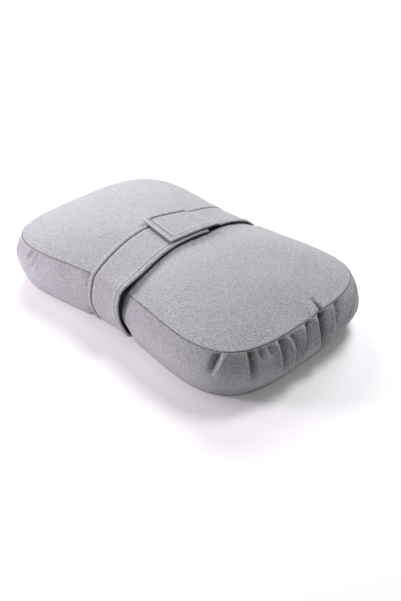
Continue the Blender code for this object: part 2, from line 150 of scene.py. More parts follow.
# Mesh of the cover. Its columns are closer together at both ends, given by how much and how far
# along, and its rows beside the seams. Insets and drops are millimetres in and down from the seam.
OUTLINE_POINTS = 16001
EVEN_POINTS = 8001
FINE_POINTS = 4001
COLUMNS = 600
GATHERED_END_CROWDING = (1.9, 150 * MM)
OTHER_END_CROWDING = (0.9, 170 * MM)
CROWDING_POWER = 6
TOP_INSETS = np.concatenate([np.linspace(0.0, 4.0, 17), np.linspace(5.0, 12.0, 8)])
TOP_ROWS = 48
TOP_ROW_POWER = 0.9
BAND_DROPS = np.linspace(0.0, 4.5, 16)[1:]
BAND_ROWS = 40
FOOT_FROM = 0.94
FOOT_ROWS = 9
UNDER_ROWS = 20
UNDER_SMALLEST = 0.02

# Mesh of the strap: stations along it and points across it are closer together near its edges
STRAP_HALF_WIDTH = 27 * MM
STRAP_EDGE_ZONE = 9 * MM
END_STATIONS = 19
MIDDLE_STATIONS = 390
EDGE_POINTS = 15
MIDDLE_POINTS = 11
MIDDLE_FROM_EDGE = 0.02
SECTION_SLICES = 7
SECTION_TOP_POINTS = 40
SECTION_BAND_POINTS = 25

# Gathers in the side band, in millimetres along the top seam from the middle of the +X end,
# positive towards +Y. Lean and bow are the drift along the seam from top to foot. A gather comes
# in over a short drop and fades out over the last part of its own length. Its ridge widens on the
# way down, and its trough is steep beside the ridge and gentle on the other side.
GATHER_IN_OVER = 0.09
GATHER_FADES_FROM = 0.45
RIDGE_WIDTHS = (0.75, 1.35)
TROUGH_PLACE = 1.2
TROUGH_WIDTHS = (0.85, 0.50)
TROUGH_GENTLE_SIDE = 2.0
GATHER_COLUMNS = ("along", "lean", "bow", "half_width", "ridge", "trough", "side", "start", "end")
GATHERS = (
    (-106, -17, 0, 3.2, 1.8, 3.9, -1, 0, 0.50),
    (-87, 1, 0, 3, 1.6, 4.8, 1, 0, 0.68),
    (-76, 1, 0, 2.4, 1, 2.8, 1, 0, 0.26),
    (-65.5, 1, 0, 2.6, 1, 2.6, 1, 0, 0.26),
    (-52.2, 0, -4, 4, 3.6, 4.4, 1, 0, 0.96),
    (-39, -25, 56, 4, 2.6, 3.2, 1, 0.02, 0.94),
    (-12.5, -33, 2, 4.6, 4.2, 4.8, 1, 0, 1.02),
    (8, 7.8, -38, 5.2, 4, 7.2, 1, 0, 1),
    (35.5, -5, -28, 4.4, 3.4, 4, 1, 0, 0.66),
    (86, -104, 0, 8, 3, 3, 1, 0.06, 0.74),
    (52, -28, 0, 9, 2, 3.2, -1, 0.50, 1.12),
    (92, -20, 0, 9, 1.4, 1.6, 1, 0.30, 1.10),
    (124, -30, 0, 6, 1, 1.8, 1, 0.30, 1.05),
    (-376, -22, 0, 3, 1.5, 1.9, -1, 0, 0.50),
    (-394, -28, 0, 2.6, 1.6, 1.6, 1, 0, 0.34),
    (-416, 6, 0, 4, 1, 1.8, -1, 0.03, 0.50),
    (-455, 3, 0, 4.8, 1.8, 2.4, 1, 0, 0.62),
    (-490, -3, 2, 5.2, 2.2, 2.4, -1, 0.02, 0.72),
    (-518, 4, 2, 4.8, 2, 2.6, 1, 0, 0.76),
    (505, -5, 0, 4.8, 1.8, 2.2, 1, 0, 0.52),
    (470, 4, 0, 4.8, 1.6, 2.4, -1, 0, 0.56),
    (430, -4, 0, 4.2, 1, 1.8, 1, 0, 0.38),
    (385, -6, 0, 4.2, 1, 1.6, -1, 0, 0.36),
)

# Short creases in the top panel that run into the seam, in millimetres
CREASE_COLUMNS = ("along", "lean", "half_width", "height", "inward")
CREASES = (
    (17.8, 12, 2.2, -4.8, 27),
    (12, 16, 2.6, 2.4, 25),
    (9.3, 14, 2, -1.1, 18),
    (6.3, 13, 2.2, 1, 18),
    (0.5, 9, 3.2, -1.2, 14),
    (25, 9, 3.6, 0.8, 20),
)

# Strap along its route in millimetres: distance from the middle of the top, towards -Y, then
# under and back. In rows with a turn of 1 it is counted from the end of one full turn.
STRAP_COLUMNS = ("turn", "along", "centre", "width")
STRAP_TABLE = (
    (0, -30, -0.5, 47.8),
    (0, -14, -3.7, 49.8),
    (0, 4, -7, 52.9),
    (0, 22, -9.3, 55.9),
    (0, 44, -8.6, 56.7),
    (0, 70, -5.9, 56.7),
    (0, 92, -3.6, 55.9),
    (0, 112, -2.5, 53.4),
    (0, 135, -0.9, 52.7),
    (0, 165, -0.1, 52.2),
    (0, 280, 0, 52),
    (1, -150, -2.5, 51.5),
    (1, -110, -3.4, 52.5),
    (1, -86, -4.5, 52.5),
    (1, -62, -6.3, 51),
    (1, -44, -6.1, 51),
    (1, -32, -5.1, 52),
    (1, -18, -7.7, 54.5),
    (1, -4, -11.1, 58),
    (1, 12, -14.2, 60.5),
    (1, 24, -16.5, 61.5),
)

# Small wrinkles in the strap, in millimetres: place along and across, direction, size, height
WRINKLE_COLUMNS = ("turn", "along", "across", "slant", "length", "half_width", "height")
WRINKLES = (
    (1, -27.5, -2, 90, 20, 1.8, 0.7),
    (1, -24, 14, 30, 5, 1.5, 0.6),
    (1, -27, 11, 35, 5, 1.3, -0.6),
    (1, -33, 13, 20, 5, 1.6, 0.5),
    (0, 60, 2, 75, 16, 6, 0.3),
    (0, 104, -4, 85, 18, 5, 0.4),
)

# Hems: a rolled edge, the stitched groove inside it with painted shade in it, and painted highlights
# as pale lines along the roll and beside the groove. The whole inner face of the strap gets painted
# shade.
HEM_CORNER = 1.5 * MM
HEM_CORNER_GAIN = 0.2 * MM
BODY_AT_GROOVE = 0.6
BODY_RISES_OVER = 2 * MM
RIPPLE_HEIGHT = 0.12 * MM
RIPPLE_HALF_WIDTH = 2.2 * MM
GROOVE_DEPTH = 0.3 * MM
GROOVE_HALF_WIDTH = 0.75 * MM
GROOVE_SHADE = 0.8
HEM_PUFF = 0.5 * MM
EDGE_LINE_PLACE = 1.2 * MM
BODY_LINE_PLACE = 1.9 * MM
LINE_HALF_WIDTH = 0.9 * MM
EDGE_LINE_SHADE = 0.6
BODY_LINE_SHADE = 0.45
INNER_SHADE = 1.0

# Stitches, and the small steps along and across the strap that give each one its direction
STITCH_PITCH = 3.2 * MM
STITCH_LENGTH = 2.5 * MM
STITCH_RADIUS = 0.33 * MM
STITCH_ARCH = 0.25 * MM
STITCH_PROUD = 0.15 * MM
STITCH_SIDES = 6
STITCH_RINGS = 5
STITCH_TIP = 0.97
STEP_ALONG = 0.5 * MM
STEP_ACROSS = 0.02

# Plush: noises per metre, how dark and how light each goes, and the height of its relief
BRUSHED_SIZE = 16.0
TUFT_SIZE = 580.0
GRAIN_SIZE = 1150.0
BRUSHED_TINTS = (0.965, 1.03)
TUFT_TINTS = (0.71, 1.23)
GRAIN_TINTS = (0.86, 1.08)
TUFT_RELIEF = 2.7 * MM
GRAIN_RELIEF = 0.35 * MM
SHEEN_TINT = (0.96, 0.94, 1.0, 1.0)
THREAD_TWIST_SIZE = 2600.0
WHITE = (1.0, 1.0, 1.0)

# Soft studio lamps: place in metres, width of the disk, power in watts and colour. The floor glows
# a little, so that it stays pale round the pillow.
LAMP_COLUMNS = ("name", "place", "size", "power", "colour")
LAMPS = (
    ("key_light", (-1.35, 0.85, 1.05), 0.6, 19.2, (1.0, 0.99, 0.95)),
    ("back_light", (-0.60, 1.45, 1.05), 0.6, 13.0, (0.91, 0.90, 1.0)),
    ("top_light", (0.02, 0.0, 1.90), 1.0, 4.4, (0.88, 0.98, 1.0)),
    ("over_light", (0.06, 0.50, 0.90), 0.4, 6.1, (1.0, 0.95, 0.98)),
    ("side_light", (-0.75, -0.35, 0.50), 0.35, 1.2, (1.0, 0.91, 0.94)),
    ("fill_light", (-0.72, -0.80, 0.36), 0.35, 10.4, (1.0, 0.87, 1.0)),
)
MIDDLE = np.array([0.0, 0.0, 0.04])
WORLD_STRENGTH = 0.06
FLOOR_GLOW = 0.13


def smooth_step(value):
    """Rise from 0 to 1 as value goes from 0 to 1: 3 t squared less 2 t cubed."""
    t = np.clip(value, 0.0, 1.0)
    return t * t * (3.0 - 2.0 * t)


def bump(distance, half_width):
    """Rounded bump: e to the minus (distance over half width) squared."""
    return np.exp(-((distance / half_width) ** 2))


def eased(at, knots, values):
    """Read a table with a cubic curve whose slopes are those between neighbouring rows."""
    slopes = np.gradient(values, knots)
    index = np.clip(np.searchsorted(knots, at) - 1, 0, len(knots) - 2)
    step = knots[index + 1] - knots[index]
    t = np.clip((at - knots[index]) / step, 0.0, 1.0)
    t2, t3 = t * t, t * t * t
    level = (2 * t3 - 3 * t2 + 1) * values[index] + (3 * t2 - 2 * t3) * values[index + 1]
    rise = (t3 - 2 * t2 + t) * slopes[index] + (t3 - t2) * slopes[index + 1]
    return level + rise * step


def rolling(x, y, z, height, size, seed):
    """Smooth unevenness: the sum of several waves of about one size, in seeded directions."""
    random = np.random.default_rng(seed)
    total = np.zeros(np.broadcast(x, y, z).shape)
    for _ in range(ROLL_WAVES):
        direction = random.normal(size=3)
        reach = size * random.uniform(*ROLL_SHARES) * np.linalg.norm(direction)
        direction *= 2 * math.pi / reach
        phase = random.uniform(0.0, 2 * math.pi)
        total = total + np.sin(direction[0] * x + direction[1] * y + direction[2] * z + phase)
    return height * total / ROLL_WAVES ** 0.5


def mesh_object(name, points, faces, painted_shading=None):
    """Make an object at the origin from an array of points and a list of faces. Painted shading is
    painted shade, up to 1, that grows with how deep a point lies in a seam or a fold, or painted
    highlight, down to -1, that grows with how far out it is on a crest."""
    data = bpy.data.meshes.new(name)
    data.from_pydata(points.tolist(), [], faces)
    if painted_shading is not None:
        layer = data.attributes.new(PAINTED_SHADING, "FLOAT", "POINT")
        layer.data.foreach_set("value", np.clip(painted_shading, -1.0, 1.0))
    data.validate()
    data.shade_smooth()
    piece = bpy.data.objects.new(name, data)
    bpy.context.scene.collection.objects.link(piece)
    turn_outward(data)
    return piece


def turn_outward(data):
    """Turn every face of a closed mesh outward if its volume comes out negative."""
    data.calc_loop_triangles()
    corners = np.zeros(len(data.loop_triangles) * 3, int)
    data.loop_triangles.foreach_get("vertices", corners)
    points = np.zeros(len(data.vertices) * 3)
    data.vertices.foreach_get("co", points)
    a, b, c = points.reshape(-1, 3)[corners.reshape(-1, 3)].transpose(1, 0, 2)
    if (a * np.cross(b, c)).sum() < 0:
        data.flip_normals()


def grid_faces(rows, columns, wrap_columns):
    """Four-cornered faces of a grid of rows by columns, whose columns may go round."""
    last = columns if wrap_columns else columns - 1
    row, column = np.meshgrid(np.arange(rows - 1), np.arange(last), indexing="ij")
    after = (column + 1) % columns
    corners = (row * columns + column, (row + 1) * columns + column,
               (row + 1) * columns + after, row * columns + after)
    return np.stack(corners, axis=-1).reshape(-1, 4)


class CoverShape:
    """The cushion's cover as a surface of two parameters: a column round it and a row down it."""

    def __init__(self, sizes):
        self.sizes = sizes
        self.half_length = sizes.length / 2 - END_BULGE
        self.half_width = sizes.width / 2
        even, *series = self.outline()
        self.perimeter = even[-1] - even[0]
        self.along = self.column_places(self.perimeter / 2)
        self.x, self.y, *normal = (np.interp(self.along, even, one) for one in series)
        self.normal_x, self.normal_y = normal / np.hypot(*normal)
        share = np.abs(self.normal_x)
        self.bulge = END_BULGE * share + SIDE_BULGE * (1.0 - share)
        self.reach = self.x * self.normal_x + self.y * self.normal_y

    def waist(self, x):
        """Share of the width left at x: 1 less a rounded dip at the middle."""
        return 1.0 - self.sizes.waist_depth * np.exp(-((np.abs(x) / WAIST_REACH) ** WAIST_SHARPNESS))

    def outline(self):
        """Squared oval with a waist: x = a cos^(2/n) t, y = b sin^(2/m) t times the waist at x."""
        t = np.linspace(-math.pi, math.pi, OUTLINE_POINTS)
        cos_t, sin_t = np.cos(t), np.sin(t)
        x = self.half_length * np.sign(cos_t) * np.abs(cos_t) ** (2.0 / END_SQUARENESS)
        y = self.half_width * self.waist(x) * np.sign(sin_t) * np.abs(sin_t) ** (2.0 / SIDE_SQUARENESS)
        along = np.concatenate([[0.0], np.cumsum(np.hypot(np.diff(x), np.diff(y)))])
        along -= np.interp(0.0, t, along)
        even = np.linspace(along[0], along[-1], EVEN_POINTS)
        x, y = np.interp(even, along, x), np.interp(even, along, y)
        tangent_x, tangent_y = np.gradient(x), np.gradient(y)
        size = np.hypot(tangent_x, tangent_y)
        return even, x, y, tangent_y / size, -tangent_x / size

    def column_places(self, half_perimeter):
        """Distances along the seam, closer together at the gathered ends."""
        fine = np.linspace(0.0, half_perimeter, FINE_POINTS)
        weight = 1.0
        for far, (more, reach) in ((fine, GATHERED_END_CROWDING),
                                   (half_perimeter - fine, OTHER_END_CROWDING)):
            weight = weight + more * np.exp(-((far / reach) ** CROWDING_POWER))
        filled = np.concatenate([[0.0], np.cumsum((weight[1:] + weight[:-1]) / 2)])
        half = np.interp(np.linspace(0.0, filled[-1], COLUMNS // 2 + 1), filled, fine)
        return np.concatenate([half, -half[-2:0:-1]])

    def seam_height(self, x):
        """Height of the top seam, a little higher over the waist."""
        return self.sizes.seam_height + SEAM_RISE_AT_WAIST * np.exp(-((x / WAIST_REACH) ** 2))

    def crown(self, x):
        """Height of the crown's middle line, pressed down a little under the strap."""
        return self.sizes.crown_height - TROUGH_DEPTH * np.exp(-((x / TROUGH_REACH) ** TROUGH_POWER))

    def top_height(self, x, seam, rho):
        """Height of the top panel: z = seam + rise (1 - rho^p), where rho is 1 at the seam."""
        return seam + (self.crown(x) - seam) * (1.0 - rho ** CROWN_FULLNESS)

    def band_out(self, x, bulge, v):
        """How far the band stands out at the share v down it: bulge sin(pi v^p) less the tuck."""
        return bulge * np.sin(math.pi * v ** BULGE_POWER) - self.tuck(x) * v ** 2

    @staticmethod
    def arch(x):
        """Height of the underside, zero on the lobes and a low arch under the waist."""
        return ARCH_HEIGHT * np.exp(-((x / ARCH_HALF_LENGTH) ** ARCH_POWER))

    @staticmethod
    def tuck(x):
        """How far the foot is drawn in at the waist: a flat-topped bump along x."""
        return WAIST_TUCK * np.exp(-((x / WAIST_TUCK_REACH) ** WAIST_TUCK_POWER))

    @staticmethod
    def press(x, y, drop):
        """How far the strap presses the shoulders in: flat across it, and a bump round the seam.
        The drop below the seam is negative on the top panel."""
        from_centre = (x - SQUEEZE_CENTRE) / SQUEEZE_HALF_LENGTH
        under_strap = np.exp(-(from_centre ** SQUEEZE_POWER))
        share = smooth_step(y / SQUEEZE_SIDE) + SQUEEZE_NEAR_SHARE * smooth_step(-y / SQUEEZE_SIDE)
        reach = np.where(drop < 0.0, SQUEEZE_INWARD, SQUEEZE_DROP)
        depth = SQUEEZE_DEPTH * under_strap * share * bump(drop, reach)
        return depth * math.sqrt(0.5)

    def creases(self, inward):
        """Short creases of the top panel, each a bump across and fading inward from the seam."""
        relief = np.zeros(np.broadcast(self.along, inward).shape)
        for row in CREASES:
            fold = dict(zip(CREASE_COLUMNS, row))
            gap = self.along / MM - fold["along"] - fold["lean"] * inward / MM / fold["inward"]
            fade = 1.0 - smooth_step(inward / MM / fold["inward"])
            relief = relief + fold["height"] * MM * bump(gap, fold["half_width"]) * fade
        return relief

    def gathers(self, v):
        """Gathers of the side band: a ridge that widens downwards, with a trough beside it that is
        steep on the ridge's side, and the fine painted highlight along the ridge's crest."""
        relief = np.zeros(np.broadcast(self.along, v).shape)
        line = np.zeros(relief.shape)
        turn = self.perimeter / MM
        for row in GATHERS:
            fold = dict(zip(GATHER_COLUMNS, row))
            drift = fold["lean"] * v + fold["bow"] * v * (1.0 - v)
            gap = (self.along / MM - fold["along"] - drift + turn / 2) % turn - turn / 2
            down = np.clip(v / fold["end"], 0.0, 1.0)
            start = smooth_step((v - fold["start"] + 0.01) / GATHER_IN_OVER)
            faded = (v / fold["end"] - GATHER_FADES_FROM) / (1.0 - GATHER_FADES_FROM)
            fade = start * (1.0 - smooth_step(faded))
            crest = fold["half_width"] * np.interp(down, (0.0, 1.0), RIDGE_WIDTHS)
            ridge = fold["ridge"] * bump(gap, crest)
            beside = gap * fold["side"] - TROUGH_PLACE * fold["half_width"]
            steep = fold["half_width"] * np.interp(down, (0.0, 1.0), TROUGH_WIDTHS)
            reach = np.where(beside < 0.0, steep, TROUGH_GENTLE_SIDE * steep)
            trough = fold["trough"] * bump(beside, reach)
            relief = relief + (ridge - trough) * MM * fade * self.sizes.gather_strength
            # Painted highlight along the crest, full on ridges of the given height
            strength = min(fold["ridge"] / CREST_LINE_FULL_RIDGE, 1.0)
            line = line + bump(gap, CREST_LINE_WIDTH) * fade * strength
        return relief, line

    def seam_dent(self, distance):
        """Depth of the sewn groove and its two soft lips at a distance from the seam."""
        return SEAM_DEPTH * bump(distance, SEAM_HALF_WIDTH) - LIP_HEIGHT * bump(
            distance - LIP_PLACE, LIP_HALF_WIDTH)

    def top_rows(self):
        """Top panel: the outline drawn in to the middle by rho, z the crown's height there."""
        inset = TOP_INSETS[::-1, None] * MM
        shares = np.linspace(0.0, 1.0, TOP_ROWS)[:0:-1, None] ** TOP_ROW_POWER
        edge = 1.0 - inset[0] / self.reach
        rho = np.concatenate([(1.0 - shares) * edge, 1.0 - inset / self.reach])
        x, y = self.x * rho, self.y * rho
        inward = (1.0 - rho) * self.reach
        creases = self.creases(inward)
        z = self.top_height(x, self.seam_height(self.x), rho) + creases
        z = z + rolling(x, y, 0.0 * x, *TOP_ROLL) * smooth_step(inward / TOP_ROLL_FROM_SEAM)
        dent = self.seam_dent(inward)
        press = self.press(x, y, -inward)
        drawn_in, down = (share * dent for share in TOP_SEAM_SHARES)
        x, y = x - self.normal_x * drawn_in, y - self.normal_y * drawn_in
        # Painted shade at the seam, partly its dark joint, and in the creases' hollows; painted
        # highlight on their ridges
        painted_shading = SEAM_SHADE * bump(inward, SEAM_SHADE_WIDTH) - creases / FOLD_DARKENS
        return np.stack([x, y - np.sign(y) * press, z - down - press, painted_shading], axis=-1)

    def band_rows(self):
        """Side band: out from the outline by its bulge and gathers, z from the seam to the foot."""
        near = BAND_DROPS * MM / self.sizes.seam_height
        middle = np.linspace(near[-1], FOOT_FROM, BAND_ROWS)[1:]
        foot = np.linspace(FOOT_FROM, 1.0, FOOT_ROWS)[1:]
        v = np.concatenate([near, middle, foot])[:, None]
        folds, crest_line = self.gathers(v)
        out = self.band_out(self.x, self.bulge, v) + folds
        low = FOOT_HEIGHT + self.arch(self.x)
        high = self.seam_height(self.x)
        z = high * (1.0 - v) + low * v
        out = out + rolling(self.x, self.y, z, *BAND_ROLL) * np.sin(math.pi * v)
        drop = v * (high - low)
        dent = self.seam_dent(drop)
        foot_dent = FOOT_SEAM_DEPTH * self.seam_dent((1.0 - v) * (high - low))
        out = out - dent * BAND_SEAM_SHARES[0] - foot_dent * FOOT_SEAM_SHARES[0]
        z = z - np.abs(dent) * BAND_SEAM_SHARES[1] + foot_dent * FOOT_SEAM_SHARES[1]
        x, y = self.x + self.normal_x * out, self.y + self.normal_y * out
        press = self.press(x, y, drop)
        # Painted shade at the top and foot seams, partly their dark joints, and in the gathers'
        # troughs; painted highlight on their ridges and crests
        foot_shade = bump((1.0 - v) * (high - low), SEAM_HALF_WIDTH)
        seam_shade = SEAM_SHADE * bump(drop, SEAM_SHADE_WIDTH)
        painted_shading = seam_shade + foot_shade - folds / FOLD_DARKENS - CREST_LINE_SHADE * crest_line
        return np.stack([x, y - np.sign(y) * press, z - press, painted_shading], axis=-1)

    def under_rows(self):
        """Underside: a quarter turn in from the foot, then flat on the floor but for the arch."""
        tuck = self.tuck(self.x)
        turn = np.linspace(0.0, 1.0, FOOT_ROWS)[1:, None] * math.pi / 2
        inset = FOOT_INSET * (1.0 - np.cos(turn)) + tuck
        from_foot = np.hypot(inset - tuck, FOOT_HEIGHT * np.sin(turn))
        dent = FOOT_SEAM_DEPTH * UNDER_SEAM_SHARE * self.seam_dent(from_foot)
        x = self.x - self.normal_x * (inset + dent)
        y = self.y - self.normal_y * (inset + dent)
        lift = FOOT_HEIGHT * (1.0 - np.sin(turn)) + np.maximum(dent, 0.0)
        rows = [np.stack([x, y, lift + self.arch(x), 0.0 * x], axis=-1)]
        share = np.linspace(1.0, UNDER_SMALLEST, UNDER_ROWS)[1:, None]
        flat_x, flat_y = x[-1] * share, y[-1] * share
        rows.append(np.stack([flat_x, flat_y, self.arch(flat_x), 0.0 * flat_x], axis=-1))
        return np.concatenate(rows)


def strap_shade(points, strap_shape):
    """Painted shade of the strap on the cover: how much of the light the strap keeps off the cover, 1
    under it, falling to 0 just past its edges, whose place is read at the same angle round the waist."""
    route = strap_shape.route
    y, z = route.series[:2]
    middle = route.sizes.crown_height / 2
    angles = np.unwrap(np.arctan2(z - middle, y))
    way = np.sign(angles[-1] - angles[0])
    angles = way * angles
    turned = way * np.arctan2(points[:, 2] - middle, points[:, 1])
    turned = angles[0] + (turned - angles[0]) % (2 * math.pi)
    along = np.interp(turned, angles, np.arange(ROUTE_STEPS) * route.length / ROUTE_STEPS)
    shade = np.zeros(len(points))
    for s in (along - route.length, along, along + route.length):
        inside = (s > strap_shape.start) & (s < strap_shape.end - STRAP_SHADE_SHORT)
        inside &= np.abs(points[:, 0]) < STRAP_REACH
        centre = eased(s, strap_shape.knots, strap_shape.centres)
        half = eased(s, strap_shape.knots, strap_shape.widths) / 2
        beyond = STRAP_SHADE_BEYOND * smooth_step(points[:, 2] / STRAP_SHADE_FULL_AT)
        cover = half + beyond - np.abs(points[:, 0] - centre)
        shade = np.maximum(shade, inside * smooth_step(cover / STRAP_SHADE_FADE))
    return shade


def build_cover(sizes, strap):
    """Cover as one closed surface: top rows, band rows and underside rows, closed at both poles."""
    shape = CoverShape(sizes)
    rows = np.concatenate([shape.top_rows(), shape.band_rows(), shape.under_rows()])
    count, columns = rows.shape[:2]
    points, painted_shading = rows[..., :3].reshape(-1, 3), rows[..., 3].ravel()
    # The strap's shade is painted into the cover's colour
    painted_shading = np.maximum(painted_shading, strap_shade(points, StrapShape(sizes, strap)))
    top = np.array([[0.0, 0.0, points[:columns, 2].mean()]])
    bottom = np.array([[0.0, 0.0, ARCH_HEIGHT]])
    ring = np.arange(columns)
    after = (ring + 1) % columns
    top_index, bottom_index = len(points), len(points) + 1
    last = (count - 1) * columns
    fans = [np.stack([np.full(columns, top_index), ring, after], axis=1),
            np.stack([np.full(columns, bottom_index), last + after, last + ring], axis=1)]
    faces = grid_faces(count, columns, True).tolist() + fans[0].tolist() + fans[1].tolist()
    every = np.concatenate([points, top, bottom])
    return mesh_object("pillow_cover", every, faces, np.append(painted_shading, [0.0, 0.0]))


class StrapRoute:
    """The strap's way round the waist: over the top towards -Y, down, under and back up."""

    def __init__(self, sizes):
        self.cover = CoverShape(sizes)
        self.sizes = sizes
        points = [self.section(x, -1.0) for x in np.linspace(*NEAR_REACH, SECTION_SLICES)]
        points += [self.section(x, 1.0) for x in np.linspace(*FAR_REACH, SECTION_SLICES)]
        outline = self.offset(self.hull(np.concatenate(points)), STRAP_CLEARANCE)
        closed = np.concatenate([outline, outline[:1]])
        along = np.concatenate([[0.0], np.cumsum(np.hypot(*np.diff(closed, axis=0).T))])
        self.length = along[-1]
        even = np.linspace(0.0, self.length, ROUTE_STEPS + 1)[:-1]
        y = self.rounded(np.interp(even, along, closed[:, 0]))
        z = self.rounded(np.interp(even, along, closed[:, 1]))
        start = int(np.argmin(np.abs(y) + (z < sizes.crown_height / 2)))
        y, z = np.roll(y, -start), np.roll(z, -start)
        if y[10] > 0:
            y, z = np.roll(y[::-1], 1), np.roll(z[::-1], 1)
        tangent_y, tangent_z = np.roll(y, -1) - np.roll(y, 1), np.roll(z, -1) - np.roll(z, 1)
        spread = range(-NORMAL_ROUNDING_STEPS, NORMAL_ROUNDING_STEPS + 1)
        normal_y = sum(np.roll(tangent_z, k) for k in spread)
        normal_z = -sum(np.roll(tangent_y, k) for k in spread)
        facing = np.sign((normal_y * y + normal_z * (z - sizes.crown_height / 2)).sum())
        size = np.hypot(normal_y, normal_z) * facing
        self.series = (y, z, normal_y / size, normal_z / size)

    def section(self, x, half):
        """Points of the cushion's cross-section at x, the near half (-1) or the far half (1)."""
        cover = self.cover
        end = max(1.0 - abs(x / cover.half_length) ** END_SQUARENESS, 0.0)
        edge = cover.half_width * cover.waist(x) * end ** (1.0 / SIDE_SQUARENESS)
        across = np.linspace(0.0, edge, SECTION_TOP_POINTS)
        seam = cover.seam_height(x)
        top = cover.top_height(x, seam, across / edge)
        v = np.linspace(0.0, 1.0, SECTION_BAND_POINTS)
        out = edge + cover.band_out(x, SIDE_BULGE, v)
        low = FOOT_HEIGHT + cover.arch(x)
        y = half * np.concatenate([across, out])
        z = np.concatenate([top, seam * (1.0 - v) + low * v])
        press = cover.press(x, y, np.concatenate([across - edge, v * (seam - low)]))
        under = half * np.array([out[-1] - FOOT_INSET, 0.0])
        y = np.append(y - half * press, under)
        z = np.append(z - press, [ARCH_HEIGHT, ARCH_HEIGHT])
        return np.stack([y, z], axis=1)

    @staticmethod
    def hull(points):
        """Convex outline of the points, going round to the left."""
        ordered = points[np.lexsort((points[:, 1], points[:, 0]))]
        halves = []
        for run in (ordered, ordered[::-1]):
            chain = []
            for point in run:
                while len(chain) > 1:
                    a, b = chain[-1] - chain[-2], point - chain[-2]
                    if a[0] * b[1] - a[1] * b[0] > 1e-12:
                        break
                    chain.pop()
                chain.append(point)
            halves += chain[:-1]
        return np.array(halves)

    @staticmethod
    def offset(outline, distance):
        """Move a convex outline outward by a distance, its corners turned round each point."""
        moved = []
        for i, here in enumerate(outline):
            before, after = here - outline[i - 1], outline[(i + 1) % len(outline)] - here
            first, last = math.atan2(-before[0], before[1]), math.atan2(-after[0], after[1])
            last += 2 * math.pi if last < first else 0.0
            for angle in np.linspace(first, last, max(2, int((last - first) / CORNER_STEP))):
                moved.append(here + distance * np.array([math.cos(angle), math.sin(angle)]))
        return np.array(moved)

    def rounded(self, series):
        """Closed series blended with a bump of a few millimetres, so the strap turns in a curve."""
        gaps = np.arange(ROUTE_STEPS) * self.length / ROUTE_STEPS
        weight = bump(np.minimum(gaps, self.length - gaps), ROUTE_ROUNDING)
        blend = np.fft.rfft(series) * np.fft.rfft(weight / weight.sum())
        return np.fft.irfft(blend, ROUTE_STEPS)

    def read(self, along):
        """Position and outward normal at distances along the route, which repeats each turn."""
        place = (along % self.length) / self.length * ROUTE_STEPS
        knots = np.arange(ROUTE_STEPS + 1)
        return [np.interp(place, knots, np.append(one, one[0])) for one in self.series]


